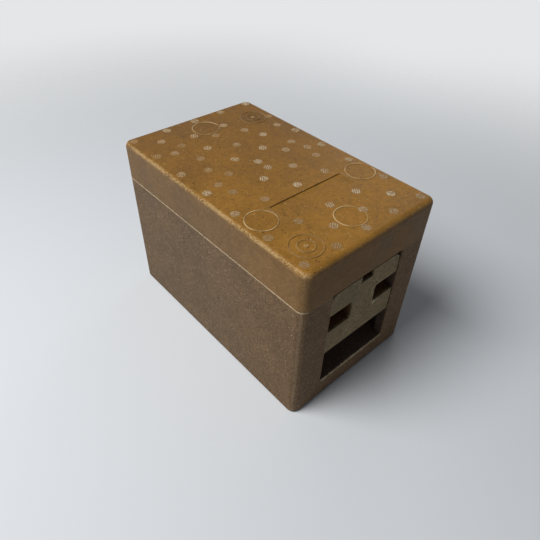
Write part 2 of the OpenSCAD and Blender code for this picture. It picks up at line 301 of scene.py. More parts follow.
print("noise runs from about", NOISE_SPAN[0], "to", NOISE_SPAN[1])

# %% [markdown]
# ### Foam beads
# Steamed beads press flat against each other, so the surface is a net of small many-sided cushions with
# fine seams between them. A Voronoi texture divides space in just that way. Its distance to the edge gives
# the cushion and the seam, and its colour gives each bead a tone of its own. The place is wobbled first,
# because straight seams would look cut with a knife. A fine noise stands for the grain inside the beads.

# %% Build the bead effect
WOBBLE_SIZE = 5.0
WOBBLE_REACH = 1.6
CUSHION_RIM = 0.3
SEAM_RIM = 0.09
GRAIN_SIZE = 1.1

beads, got, out = effect_group(
    "foam beads", {"Place": None, "Bead Size": 3.0}, ["Height", "Tone", "Seam", "Grain"])
wobble = add(beads, "TexNoise", Vector=per_mm(beads, got["Place"], WOBBLE_SIZE), Scale=1.0, Detail=1.0)
shift = vector_maths(beads, "MULTIPLY", wobble.outputs["Color"], (WOBBLE_REACH,) * 3)
packed = per_mm(beads, vector_maths(beads, "ADD", shift, got["Place"]), got["Bead Size"])
cells = add(beads, "TexVoronoi", {"feature": "F1"}, Vector=packed, Scale=1.0)
border = add(beads, "TexVoronoi", {"feature": "DISTANCE_TO_EDGE"}, Vector=packed, Scale=1.0)
tone = add(beads, "SeparateColor", Color=cells.outputs["Color"])
feed(beads, out["Height"], rescale(beads, border.outputs["Distance"], 0.0, CUSHION_RIM))
feed(beads, out["Tone"], tone.outputs["Red"])
feed(beads, out["Seam"], fade(beads, border.outputs["Distance"], 0.0, SEAM_RIM))
feed(beads, out["Grain"], noise(beads, got["Place"], GRAIN_SIZE, 3.0))
print("made", beads.name)

# %% [markdown]
# ### Specks
# Single dark or pale beads, pits and crumbs are scattered over the foam. Each cell of a coarse Voronoi
# texture holds at most one speck: a random number per cell decides whether it is there, and the distance
# to the cell's point gives its round shape, made ragged by a little noise.

# %% Build the speck effect
RAGGED_SIZE = 0.9
RAGGED_RADIUS = (0.5, 1.5)
SPECK_RIM = (0.6, 1.1)

specks, got, out = effect_group(
    "specks", {"Place": None, "Spacing": 4.0, "Radius": 0.8, "Share": 0.4}, ["Mask"])
spread = add(specks, "TexVoronoi", {"feature": "F1"}, Vector=per_mm(specks, got["Place"], got["Spacing"]),
             Scale=1.0)
away = times(specks, spread.outputs["Distance"], got["Spacing"])
ragged = rescale(specks, noise(specks, got["Place"], RAGGED_SIZE, 2.0), *NOISE_SPAN, *RAGGED_RADIUS)
inside = fade(specks, maths(specks, "DIVIDE", away, times(specks, ragged, got["Radius"])), *SPECK_RIM)
draw = add(specks, "SeparateColor", Color=spread.outputs["Color"])
there = maths(specks, "LESS_THAN", draw.outputs["Green"], got["Share"])
feed(specks, out["Mask"], times(specks, inside, there))
print("made", specks.name)

# %% [markdown]
# ### Rubbed edges and painted edge highlights
# Hands and shelves rub the edges of a foam box, and the skin of the beads goes pale there. The pale line also
# paints the light that rounded edges catch, so it is partly wear and partly a painted highlight. On a box, an
# edge is where the surface faces between two axes, so the products of the normal's squared parts find it:
# halfway between two axes they add up to a quarter. The Bevel node rounds the normal on sharp edges too, so
# that they count as well. Noise breaks the line up. Two inputs hold the wear back where a box is handled
# less: on edges across its ends and on upright ones.

# %% Build the rubbed-edge effect
EDGE_FACING = (0.40, 0.98)
ENDS_FACING = (0.08, 0.45)
UPRIGHT_FACING = (0.10, 0.45)
HALFWAY = 0.25
RUN_SIZE = 28.0
RUN_SHARE = 0.35
FLECK_ROUGHNESS = 0.65
UNWORN_LEVEL = 1.05
LEVEL_DROP = 0.7
FLECK_STEP = (-0.08, 0.12)

# Partly wear, partly a painted highlight along the edges.
rubbed, got, out = effect_group(
    "rubbed edges",
    {"Place": None, "Reach": 0.001, "Grain": 1.6, "Amount": 0.5, "Ends": 1.0, "Upright": 1.0}, ["Mask"])
soft_normal = add(rubbed, "Bevel", {"samples": 4}, Radius=got["Reach"])
local = own_axes(rubbed, soft_normal.outputs[0])
squares = separate(rubbed, vector_maths(rubbed, "MULTIPLY", local, local))
over_x = times(rubbed, squares["X"], maths(rubbed, "ADD", squares["Y"], squares["Z"]))
between = maths(rubbed, "ADD", over_x, times(rubbed, squares["Y"], squares["Z"]))
edge_line = rescale(rubbed, maths(rubbed, "DIVIDE", between, HALFWAY), *EDGE_FACING)
runs = times(rubbed, noise(rubbed, got["Place"], RUN_SIZE), RUN_SHARE)
flecks = maths(rubbed, "ADD", noise(rubbed, got["Place"], got["Grain"], 3.0, FLECK_ROUGHNESS), runs)
level = maths(rubbed, "SUBTRACT", UNWORN_LEVEL, times(rubbed, got["Amount"], LEVEL_DROP))
worn_through = rescale(rubbed, maths(rubbed, "SUBTRACT", flecks, level), *FLECK_STEP)
axes = separate(rubbed, local)
ends = rescale(rubbed, maths(rubbed, "ABSOLUTE", axes["X"]), *ENDS_FACING, got["Ends"], 1.0)
upright = rescale(rubbed, axes["Z"], *UPRIGHT_FACING, got["Upright"], 1.0)
feed(rubbed, out["Mask"], times(rubbed, edge_line, worn_through, ends, upright))
print("made", rubbed.name)

# %% [markdown]
# ### Soil
# Handling and weather leave broad soft patches. Two sizes of noise, added, give patches that are neither
# even nor regular.

# %% Build the soil effect
SMALL_PATCH = 7.0
BROAD_SHARE = 0.6

soil, got, out = effect_group("soil", {"Place": None, "Patch Size": 40.0}, ["Mask"])
broad = rescale(soil, noise(soil, got["Place"], got["Patch Size"], 2.0), *NOISE_SPAN, 0.0, BROAD_SHARE)
small = rescale(soil, noise(soil, got["Place"], SMALL_PATCH, 3.0), *NOISE_SPAN, 0.0, 1 - BROAD_SHARE)
feed(soil, out["Mask"], maths(soil, "ADD", broad, small))
print("made", soil.name)

# %% [markdown]
# ### Weathered skin
# Sun and hands dull the outside of the foam, and the inside keeps the browner colour that it was moulded in,
# made darker still as painted shade.
# A point belongs to the outside when it lies past a given distance from the middle, across, along or up. A
# limit that a piece doesn't give is so far off that it never counts.

# %% Build the weathered-skin effect
FAR_OFF = 1000.0
SKIN_STEP = 2.0

skin, got, out = effect_group(
    "weathered skin",
    {"Place": None, "Half Width": FAR_OFF, "Half Length": FAR_OFF, "Top": FAR_OFF}, ["Mask"])
spot = separate(skin, got["Place"])
past = maths(skin, "SUBTRACT", spot["Z"], got["Top"])
for axis, limit in (("X", "Half Width"), ("Y", "Half Length")):
    beyond = maths(skin, "SUBTRACT", maths(skin, "ABSOLUTE", spot[axis]), got[limit])
    past = maths(skin, "MAXIMUM", past, beyond)
feed(skin, out["Mask"], rescale(skin, past, 0.0, SKIN_STEP))
print("made", skin.name)

# %% [markdown]
# ## Foam finishes
# Lid, body and door are the same foam with different wear: the lid's top is handled and glossier, the walls
# are duller and more grainy, and the door is paler and pitted. The recipe could be written out three times,
# but then each change would have to be made three times. So each step of it is a short function, a last one
# joins them, and each piece passes its own values. First come the parts that any finish needs. The soft
# normal of a Bevel node rounds the edges that the solids leave sharp, and a bump map lays a relief over it.

# %% Parts of any finish
def start_material(name):
    """A material with its node tree, its shader and a point in millimetres on the piece."""
    material = bpy.data.materials.new(name)
    material.use_nodes = True
    tree = material.node_tree
    shader = tree.nodes["Principled BSDF"]
    where = add(tree, "VectorMath", {"operation": "SCALE"}, Scale=1 / MM)
    feed(tree, where.inputs[0], tree.nodes.new("ShaderNodeTexCoord").outputs["Object"])
    return material, tree, shader, where.outputs["Vector"]


def how_far(tree, place, centre):
    """The distance in millimetres from a point on the piece."""
    return vector_maths(tree, "DISTANCE", place, centre)


def add_relief(tree, shader, height, strength, depth, rounding=None, samples=4):
    """Lays a relief over the surface. depth and the rounding of the edges are in millimetres."""
    bump = add(tree, "Bump", Height=height, Strength=strength, Distance=depth * MM)
    if rounding is not None:
        soft = add(tree, "Bevel", {"samples": samples}, Radius=rounding * MM)
        feed(tree, bump.inputs["Normal"], soft.outputs[0])
    feed(tree, shader.inputs["Normal"], bump.outputs[0])


print("parts of any finish:", start_material.__name__, how_far.__name__, add_relief.__name__)

# %% [markdown]
# ### What the foam asks of a point
# Every step asks the same few questions: where the point is, which way it faces, how its bead looks, whether
# its patch is dark or pale, and whether it lies on the weathered outside. They are answered once. Values that
# only some of the pieces need are listed here too, with what they are when a piece says nothing.

# %% Read the surface
USUAL_FOAM = {
    # front_top: the lid's top is painted lighter towards the entrance, as painted light.
    "front_top": None,  # colour of the top towards the entrance, where it differs
    "entrance": None,  # where the entrance lies
    "ridge_from": None,  # height from which the mould's rings stand up
    "faint_marks": (),  # ring marks that show less: the middle, and the shade of the dish inside
    "chip": None,  # where a glint is painted as a pale spot with a ragged outline
    "scuff": 0.0,  # strength of thin scrapes
    "crumb_show": 0.5,  # strength of the pale crumbs
    "crumb_front": 1.0,  # the share of that on faces towards the entrance
    "rub_ends": 1.0,  # the share of the wear and painted edge highlight that edges across the ends get
    "edge": 0.8,  # rounding of edges, mm
    "relief": 0.12,  # depth of the relief, mm
}


def read_surface(tree, place, look):
    """What the steps of the recipe ask of a point, by name."""
    normal = tree.nodes.new("ShaderNodeNewGeometry").outputs["Normal"]
    return {
        "place": place,
        "spot": separate(tree, place),
        "face": separate(tree, own_axes(tree, normal)),
        "bead": place_effect(tree, beads, Place=place),
        "patches": place_effect(tree, soil, Place=place)["Mask"],
        "skin": place_effect(tree, skin, Place=place, **look["outside"])["Mask"],
    }


print(len(USUAL_FOAM), "values that a foam piece may leave out")

# %% [markdown]
# ### Colour
# The walls and the lid's top get different colours by the way they face, and both change a little towards the
# entrance. This is painted light: the greyer walls, greyest towards the rear, are a painted reflection of
# cool surroundings, and the lid's top is painted darker towards the rear as shade. Inside, the foam is
# browner and darker than outside, partly the colour it was moulded in and partly painted shade, except where
# bees walk: the entrance and the floor are trodden grey. Soil, beads, seams and grain then make the colour
# darker or lighter.

# %% Write the colour step
# The inside colour: partly the moulded colour, partly painted shade that makes it darker than the walls.
FRESH_AND_SHADED = screen_colour(100, 71, 44)
TRODDEN = screen_colour(92, 76, 66)
# Spans of the painted light: from rear to front along walls and top, and by how much a face looks up.
FRONT_OF_WALLS = (-115.0, -10.0)
FRONT_OF_TOP = (-100.0, 100.0)
TOP_FACING = (0.35, 0.85)
CHANNEL_FADE = 3.0
CORNER_FADE = 1.0
FLOOR_TREAD = 0.85
TREAD_HEIGHT = 14.0
PATCH_SHADE = (0.88, 1.10)
DISH_RIM = (9.0, 14.0)


def trodden_share(tree, spot, entrance):
    """Where bees have greyed the inside: in the entrance, on the floor and low on the walls."""
    across = maths(tree, "ABSOLUTE", spot["X"])
    channel = times(
        tree,
        fade(tree, spot["Y"], entrance["rear"], entrance["rear"] + CHANNEL_FADE),
        fade(tree, across, entrance["half_width"], entrance["half_width"] + CORNER_FADE),
        fade(tree, spot["Z"], entrance["top"], entrance["top"] + CORNER_FADE))
    low = fade(tree, spot["Z"], entrance["floor"], entrance["floor"] + TREAD_HEIGHT, FLOOR_TREAD)
    return maths(tree, "MAXIMUM", low, channel)


def foam_colour(tree, surface, look):
    """The colour before specks and wear. The split between top and walls and the change towards the entrance
    are painted light, and the darker inside is partly painted shade.
    """
    along = surface["spot"]["Y"]
    # Painted reflection: the walls are greyer, most of all towards the rear.
    walls = blend_colour(tree, fade(tree, along, *FRONT_OF_WALLS), look["side"], look["front_side"])
    top = look["top"]
    # Painted shade: the lid's top is darker towards the rear.
    if look["front_top"] is not None:
        top = blend_colour(tree, fade(tree, along, *FRONT_OF_TOP), top, look["front_top"])
    # Painted light: one foam gets different colours on the top and on the walls by the way each faces.
    outside = blend_colour(tree, rescale(tree, surface["face"]["Z"], *TOP_FACING), walls, top)
    # Partly painted shade: the inside is darker than the outside.
    inside = FRESH_AND_SHADED
    if look["entrance"] is not None:
        inside = blend_colour(tree, trodden_share(tree, surface["spot"], look["entrance"]), inside, TRODDEN)
    colour = blend_colour(tree, surface["skin"], inside, outside)

    bead = surface["bead"]
    bead_show = look["bead_show"]
    grain_show = look["grain_show"]
    grain = rescale(tree, bead["Grain"], *NOISE_SPAN)
    shade = times(
        tree,
        rescale(tree, surface["patches"], 0.0, 1.0, *PATCH_SHADE),
        rescale(tree, bead["Tone"], 0.0, 1.0, 1 - bead_show, 1 + bead_show),
        rescale(tree, bead["Seam"], 0.0, 1.0, 1.0, 1 - bead_show),
        rescale(tree, grain, 0.0, 1.0, 1 - grain_show, 1 + grain_show))
    for centre, dimmed in look["faint_marks"]:
        dish = rescale(tree, how_far(tree, surface["place"], centre), *DISH_RIM, dimmed, 1.0)
        shade = times(tree, shade, dish)
    return shaded(tree, colour, shade)


print("red, green and blue inside:", [round(v, 3) for v in FRESH_AND_SHADED[:3]], "fresh")

# %% [markdown]
# ### Pits and crumbs
# Where a bead is missing the foam has a dark pit, and where a skin has torn it has a pale crumb. Both are
# specks. Pits gather in the darker patches, and each piece says how plainly its upright faces show them.
# The crumbs take a slightly smaller scale, or they would fall on the pits.

# %% Write the speck step
DARK_TO_PALE = (0.25, 0.75)
PIT_CROWDING = (1.4, 0.4)
PIT_FACING = (0.2, 0.6)
PIT_DARKNESS = 0.75
CRUMB_SCALE = 0.83
CRUMBS_INSIDE = 0.1
FRONT_FACING = (-0.9, -0.5)


def add_specks(tree, surface, look, colour):
    """Lays pits and crumbs over the colour; gives the new colour and the mask of the pits."""
    face = surface["face"]
    most, least = (crowding * look["pit_share"] for crowding in PIT_CROWDING)
    crowded = rescale(tree, surface["patches"], *DARK_TO_PALE, most, least)
    pits = times(
        tree,
        place_effect(tree, specks, Place=surface["place"], Share=crowded)["Mask"],
        rescale(tree, face["Z"], *PIT_FACING, look["pit_sides"], 1.0))
    colour = blend_colour(tree, times(tree, pits, PIT_DARKNESS), colour, look["dark"])
    apart = per_mm(tree, surface["place"], CRUMB_SCALE)
    crumbs = times(
        tree,
        place_effect(tree, specks, Place=apart, Share=look["crumb_share"])["Mask"],
        rescale(tree, surface["skin"], 0.0, 1.0, CRUMBS_INSIDE, look["crumb_show"]),
        rescale(tree, face["Y"], *FRONT_FACING, look["crumb_front"], 1.0))
    return blend_colour(tree, crumbs, colour, look["pale"]), pits


print("pits go", PIT_DARKNESS, "of the way to the dark colour")

# %% [markdown]
# ### Wear and painted highlights
# Foam goes pale where it is rubbed, and pale is also painted where light catches, so the wear and the painted
# highlights are one mask. Every piece has pale edges, partly rubbed and partly a painted highlight. The lid
# also has rings with a painted highlight along their ridges, the door has scrapes and a painted glint at one
# notch, and the lip of the entrance crumbles. These could be painted by hand on an image, but a rule for each
# stays sharp at any distance and needs no file. A noise passes its middle value along thin winding lines,
# which make good scrapes.

# %% Write the kinds of wear and painted highlight
RING_STEP = 0.2
SWIRL_SIZE = 11.0
RING_GAPS = (0.36, 0.62, 0.25, 1.0)
FAINT_RING = (14.0, 18.0, 0.2, 1.0)
STUB = (2.0, 3.0, 0.35)
SCRAPE_WIDTH = (0.004, 0.022)
SCRAPED_PATCHES = (0.35, 0.6)
CRUMBLE = 2.0
LIP_WIDTH = (1.8, 2.8)
LIP_GAP_SIZE = 4.5
LIP_GAPS = (0.44, 0.54, 0.1, 1.0)
LIP_END = 1.0
GLINT_RIM = (2.4, 3.4, 0.9)


# Painted highlight: the rings' ridges are painted pale where light would catch them.
def ring_highlight(tree, surface, look):
    """A painted highlight on the ridges of the mould's rings, broken by gaps, and nearly gone on the faint
    marks except for the stub inside.
    """
    ring = times(
        tree,
        rescale(tree, surface["spot"]["Z"], look["ridge_from"], look["ridge_from"] + RING_STEP),
        rescale(tree, noise(tree, surface["place"], SWIRL_SIZE), *RING_GAPS))
    for centre, _ in look["faint_marks"]:
        far = how_far(tree, surface["place"], centre)
        left = maths(tree, "MAXIMUM", rescale(tree, far, *FAINT_RING), fade(tree, far, *STUB))
        ring = times(tree, ring, left)
    return ring


def scrape_wear(tree, surface, look):
    """Thin winding scrapes in the paler patches of the outside."""
    swirl = noise(tree, surface["place"], SWIRL_SIZE)
    off_line = maths(tree, "ABSOLUTE", maths(tree, "SUBTRACT", swirl, 0.5))
    paler = rescale(tree, surface["patches"], *SCRAPED_PATCHES, 0.0, look["scuff"])
    return times(tree, fade(tree, off_line, *SCRAPE_WIDTH), paler, surface["skin"])


def crumbling(tree, surface, far):
    """A distance made uneven by the grain, so that what it draws has a ragged outline."""
    return maths(tree, "ADD", far, times(tree, surface["bead"]["Grain"], CRUMBLE))


def lip_wear(tree, surface, look):
    """A broken line along the lip of the entrance, where its floor meets the front."""
    spot = surface["spot"]
    entrance = look["entrance"]
    profile = add(tree, "CombineXYZ", Y=spot["Y"], Z=spot["Z"]).outputs[0]
    far = how_far(tree, profile, (0.0, entrance["front"], entrance["floor"]))
    return times(
        tree,
        fade(tree, crumbling(tree, surface, far), *LIP_WIDTH),
        rescale(tree, noise(tree, surface["place"], LIP_GAP_SIZE), *LIP_GAPS),
        fade(tree, maths(tree, "ABSOLUTE", spot["X"]), entrance["sill"] - LIP_END, entrance["sill"]))


# Painted highlight: a glint painted as a pale spot.
def chip_wear(tree, surface, look):
    """A painted glint: a pale spot with a ragged outline at an edge."""
    far = how_far(tree, surface["place"], look["chip"])
    return fade(tree, crumbling(tree, surface, far), *GLINT_RIM)


print("kinds of wear:", ring_highlight.__name__, scrape_wear.__name__, lip_wear.__name__, chip_wear.__name__)

# %% [markdown]
# ### The whole finish
# At each point the strongest of the wear and the painted highlights counts, and there the foam is rougher
# too. The relief adds up the cushions of the beads, the grain and the pits.

# %% Join the steps of the foam finish
FOAM_SHINE = 0.08
RUB_REACH = 2.5
SMOOTHER = 0.06
ROUGHER = 0.08
WORN_ROUGHER = 0.2
GRAIN_HEIGHT = 0.5
PIT_DEPTH = 1.2
BUMP_STRENGTH = 0.6


def wear_and_highlight_mask(tree, surface, look):
    """How pale the foam is painted, from all the kinds of wear and the painted highlights that the piece has.
    """
    rub = place_effect(tree, rubbed, Place=surface["place"], Reach=RUB_REACH * look["edge"] * MM,
                       Amount=look["rub"], Ends=look["rub_ends"], Upright=look["rub_upright"])["Mask"]
    wear_and_highlight = times(tree, rub, surface["skin"], look["rub_pale"])
    for value, kind in (("ridge_from", ring_highlight), ("scuff", scrape_wear), ("entrance", lip_wear),
                        ("chip", chip_wear)):
        if look[value]:
            wear_and_highlight = maths(tree, "MAXIMUM", wear_and_highlight, kind(tree, surface, look))
    return wear_and_highlight


def foam_finish(name, **values):
    """Moulded foam. Besides USUAL_FOAM, a piece gives its colours top, side, front_side (towards the
    entrance), pale and dark; outside, the limits of its weathered skin; bead_show, grain_show, pit_share,
    pit_sides, crumb_share, rub, rub_pale and rub_upright, which say how much of each shows; and roughness."""
    look = {**USUAL_FOAM, **values}
    material, tree, shader, place = start_material(name)
    surface = read_surface(tree, place, look)
    bead = surface["bead"]
    colour, pits = add_specks(tree, surface, look, foam_colour(tree, surface, look))
    wear_and_highlight = wear_and_highlight_mask(tree, surface, look)
    # The pale colour paints the wear and the painted highlights alike.
    feed(tree, shader.inputs["Base Color"], blend_colour(tree, wear_and_highlight, colour, look["pale"]))
    rough = rescale(tree, surface["patches"], 0.0, 1.0, look["roughness"] - SMOOTHER,
                    look["roughness"] + ROUGHER)
    feed(tree, shader.inputs["Roughness"], maths(tree, "ADD", rough, times(tree, wear_and_highlight, WORN_ROUGHER)))
    shader.inputs["Specular IOR Level"].default_value = FOAM_SHINE
    height = maths(tree, "ADD", bead["Height"], times(tree, bead["Grain"], GRAIN_HEIGHT))
    height = maths(tree, "SUBTRACT", height, times(tree, pits, PIT_DEPTH))
    add_relief(tree, shader, height, BUMP_STRENGTH, look["relief"], look["edge"], samples=6)
    return material


print("specular level of the foam:", FOAM_SHINE, "where the shader's own is 0.5")

# %% [markdown]
# ### The lid
# The lid's top is a warm brown, a little darker towards the rear: painted shade. Its walls are greyer than
# the top, a painted reflection. Two of its ring marks are those of the bead injectors. They are much fainter
# than the other rings.

# %% Make the lid foam
RIDGE = 0.4 * MM
RIDGE_FOOT = 0.05
LID_SKIN = 6.0
lid_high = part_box("lid")[1]
lid_top = lid_high[2] - RIDGE
half_width = lid_high[0] / MM
half_length = lid_high[1] / MM
INJECTOR_MARKS = [((53.0, 86.0, lid_top / MM), 0.80), ((-53.0, -100.0, lid_top / MM), 1.0)]
lid_foam = foam_finish(
    "lid foam",
    # Painted light: top is darker than front_top as painted shade; side and front_side are greyer than the
    # top as a painted reflection.
    top=screen_colour(116, 82, 37), front_top=screen_colour(134, 95, 38),
    side=screen_colour(117, 92, 63), front_side=screen_colour(126, 96, 60),
    pale=screen_colour(190, 162, 116), dark=screen_colour(62, 41, 20),
    outside={"Half_Width": half_width - LID_SKIN, "Half_Length": half_length - LID_SKIN,
             "Top": lid_top / MM - LID_SKIN},
    bead_show=0.07, grain_show=0.10, pit_share=0.6, pit_sides=0.2, crumb_share=0.08,
    rub=0.60, rub_pale=0.55, rub_ends=0.2, rub_upright=0.3,
    ridge_from=lid_top / MM + RIDGE_FOOT, faint_marks=INJECTOR_MARKS, roughness=0.48)
print("made", lid_foam.name, "for a top at", round(lid_top / MM, 1), "mm")

# %% [markdown]
# ### The body
# The walls are greyer than the lid, a painted reflection of cool surroundings, with a strong grain and many
# pale crumbs. The entrance is a channel in the front wall: its places are read from the solids around it, so
# that the colours follow the shape.

# %% Make the body foam
WALL_SKIN = 4.0
END_SKIN = 2.5
DOOR_ROOM = 1.5
RIM_ROOM = 1.5
SILL_HALF = 43.0
door_low, door_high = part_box("entrance_door")
ENTRANCE = {
    "half_width": door_high[0] / MM + DOOR_ROOM,
    "rear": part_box("vent_grid")[0][1] / MM,
    "top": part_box("hive_body")[1][2] / MM - RIM_ROOM,
    "floor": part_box("feeder_trough")[0][2] / MM,
    "front": -half_length,
    "sill": SILL_HALF,
}
body_foam = foam_finish(
    "body foam",
    # Painted light: side and front_side are greyer than the top as a painted reflection.
    top=screen_colour(122, 94, 60),
    side=screen_colour(110, 90, 69), front_side=screen_colour(113, 90, 66),
    pale=screen_colour(212, 192, 160), dark=screen_colour(62, 46, 32),
    outside={"Half_Width": half_width - WALL_SKIN, "Half_Length": half_length - END_SKIN},
    bead_show=0.10, grain_show=0.28, pit_share=0.6, pit_sides=0.7,
    crumb_share=0.6, crumb_show=0.3, crumb_front=0.5,
    rub=0.75, rub_pale=0.95, rub_upright=0.12,
    entrance=ENTRANCE, roughness=0.60, relief=0.16)
print("made", body_foam.name, "with an entrance floor at", round(ENTRANCE["floor"], 1), "mm")

# %% [markdown]
# ### The door
# The slide in front of the entrance is paler, pitted all over and scraped by years of sliding. A painted
# glint, a pale spot with a ragged outline, sits at the edge of one finger notch.

# %% Make the door foam
DOOR_SKIN = 3.0
# Where the door's painted glint sits, in mm.
GLINT_ACROSS = 17.0
GLINT_HEIGHT = 85.2
DOOR_FACE = screen_colour(133, 116, 86)
door_front = -door_low[1] / MM
door_foam = foam_finish(
    "door foam",
    top=screen_colour(132, 115, 84),
    side=DOOR_FACE, front_side=DOOR_FACE,
    pale=screen_colour(196, 184, 156), dark=screen_colour(58, 46, 32),
    outside={"Half_Length": door_front - DOOR_SKIN},
    bead_show=0.10, grain_show=0.14, pit_share=0.5, pit_sides=1.0, crumb_share=0.25,
    # The door's strong pale edges are partly wear and partly a painted highlight.
    rub=0.8, rub_pale=0.8, rub_upright=0.9,
    scuff=0.35, chip=(GLINT_ACROSS, -door_front, GLINT_HEIGHT), edge=0.6, roughness=0.60, relief=0.18)
print("made", door_foam.name, "for a face", round(door_front, 1), "mm in front of the middle")

# %% [markdown]
# ## Plastic fittings
# The ventilation grid, the feeder and its excluder are injection-moulded. Their surface is nearly smooth,
# with a fine spark-eroded texture and faint flow marks. The soil effect does well for flow marks when its
# patches are small. The feeder's plastic is milky, so a little light goes through it.

# %% Write the plastic finishes
FLOW_SIZE = 22.0
SPARK_SIZE = 0.35
MILKY_SHARE = 0.25
MILKY_DEPTH = 2.0


def plastic_finish(name, colour, mottle, roughness):
    """Satin injection-moulded plastic: fine texture, faint flow marks."""
    material, tree, shader, place = start_material(name)
    flow = place_effect(tree, soil, Place=place, Patch_Size=FLOW_SIZE)["Mask"]
    shade = rescale(tree, flow, 0.0, 1.0, 1 - mottle, 1 + mottle)
    feed(tree, shader.inputs["Base Color"], shaded(tree, colour, shade))
    feed(tree, shader.inputs["Roughness"], rescale(tree, flow, 0.0, 1.0, roughness - 0.05, roughness + 0.1))
    add_relief(tree, shader, noise(tree, place, SPARK_SIZE, 2.0), strength=0.35, depth=0.03, rounding=0.35)
    return material, shader


grid_plastic, _ = plastic_finish("grid plastic", screen_colour(56, 56, 54), 0.12, 0.42)
feeder_plastic, milky = plastic_finish("feeder plastic", screen_colour(222, 218, 203), 0.04, 0.36)
milky.inputs["Subsurface Weight"].default_value = MILKY_SHARE
milky.inputs["Subsurface Scale"].default_value = MILKY_DEPTH * MM
print("plastic finishes:", grid_plastic.name, feeder_plastic.name)

# %% [markdown]
# The cover sheet is a clear film. Real refraction would hardly show in something so thin, so it is made
# see-through with a low alpha instead, which also lets the light reach the bars. Smudges and fine scratches
# make it a little cloudy. The scratches are a noise that is squeezed across and stretched along the sheet.

# %% Make the clear sheet
SMUDGE_SIZE = 30.0
SMUDGED = (0.2, 0.9)
SCRATCH_SQUEEZE = (3.0, 0.06, 1.0)
SCRATCHED = (0.62, 0.75)
clear_sheet, tree, shader, place = start_material("clear sheet")
shader.inputs["Base Color"].default_value = (0.85, 0.90, 0.92, 1)
smudge = place_effect(tree, soil, Place=place, Patch_Size=SMUDGE_SIZE)["Mask"]
squeezed = vector_maths(tree, "MULTIPLY", place, SCRATCH_SQUEEZE)
scratch = rescale(tree, noise(tree, squeezed, 1.0), *SCRATCHED)
for socket, clean, smudged, scratched in (("Roughness", 0.05, 0.20, 0.20), ("Alpha", 0.10, 0.20, 0.15)):
    clouded = rescale(tree, smudge, *SMUDGED, clean, smudged)
    feed(tree, shader.inputs[socket], maths(tree, "ADD", clouded, times(tree, scratch, scratched)))
print("made", clear_sheet.name)

# %% [markdown]
# ## Wood and wax
# The bars are planed softwood. A wood texture with rings would suit a turned piece, but a bar is sawn along
# the trunk and shows long streaks. Stretching a noise along the bar gives them, and two sizes of it give
# growth bands and fibres.

# %% Make the bar wood
PALE_WOOD = screen_colour(206, 172, 120)
BAND_WOOD = screen_colour(168, 124, 74)
FIBRE_WOOD = screen_colour(132, 92, 52)
STAINED_WOOD = screen_colour(150, 104, 52)
BAND_SIZE = (140.0, 3.2, 3.2)
FIBRE_SIZE = (16.0, 0.35, 0.35)
STAIN_SIZE = 26.0
BANDED = (0.35, 0.65)
FIBROUS = (0.55, 0.75, 0.0, 0.5)
STAINED = (0.5, 1.0, 0.0, 0.45)
bar_wood, tree, shader, place = start_material("bar wood")
bands = noise(tree, vector_maths(tree, "DIVIDE", place, BAND_SIZE), 1.0, 2.0)
fibres = noise(tree, vector_maths(tree, "DIVIDE", place, FIBRE_SIZE), 1.0, 2.0)
stain = place_effect(tree, soil, Place=place, Patch_Size=STAIN_SIZE)["Mask"]
wood = blend_colour(tree, rescale(tree, bands, *BANDED), PALE_WOOD, BAND_WOOD)
wood = blend_colour(tree, rescale(tree, fibres, *FIBROUS), wood, FIBRE_WOOD)
wood = blend_colour(tree, rescale(tree, stain, *STAINED), wood, STAINED_WOOD)
feed(tree, shader.inputs["Base Color"], wood)
feed(tree, shader.inputs["Roughness"], rescale(tree, fibres, *NOISE_SPAN, 0.55, 0.75))
add_relief(tree, shader, fibres, strength=0.5, depth=0.08, rounding=0.5)
print("made", bar_wood.name)

# %% [markdown]
# The starter strips are sheets of beeswax pressed with the hexagons that bees build on. Modelling about
# ninety cells on each side would make a heavy mesh for a thing that hides under a bar, so the cells are a
# formula. The middles of hexagons make two rectangular nets, one shifted by half: each point belongs to the
# nearer middle, and the farther it is from there, the nearer it is to a wall.

# %% Build the comb effect
NET = (1.0, math.sqrt(3.0))
SLOPE = (0.5, math.sqrt(3.0) / 2)
WALL_RIM = (0.36, 0.48)
comb, got, out = effect_group("comb cells", {"Place": None, "Cell": 5.4}, ["Wall"])
flat = separate(comb, per_mm(comb, got["Place"], got["Cell"]))


def net_offset(shift):
    """How far a point lies from the nearest middle of a rectangular net, across and up."""
    offsets = []
    for axis, pitch in zip("XZ", NET):
        turns = maths(comb, "FLOORED_MODULO", maths(comb, "ADD", flat[axis], shift * pitch), pitch)
        offsets.append(maths(comb, "ABSOLUTE", maths(comb, "SUBTRACT", turns, pitch / 2)))
    return offsets


def hexagon_reach(across, up):
    """0 at a hexagon's middle and 0.5 on its wall."""
    slant = maths(comb, "ADD", times(comb, across, SLOPE[0]), times(comb, up, SLOPE[1]))
    return maths(comb, "MAXIMUM", across, slant)


nearer = maths(comb, "MINIMUM", hexagon_reach(*net_offset(0.0)), hexagon_reach(*net_offset(0.5)))
feed(comb, out["Wall"], rescale(comb, nearer, *WALL_RIM))
print("made", comb.name)

# %% [markdown]
# Wax is cloudy and lets some light in, which a little subsurface scattering gives. The pressed walls are
# paler than the hollows.

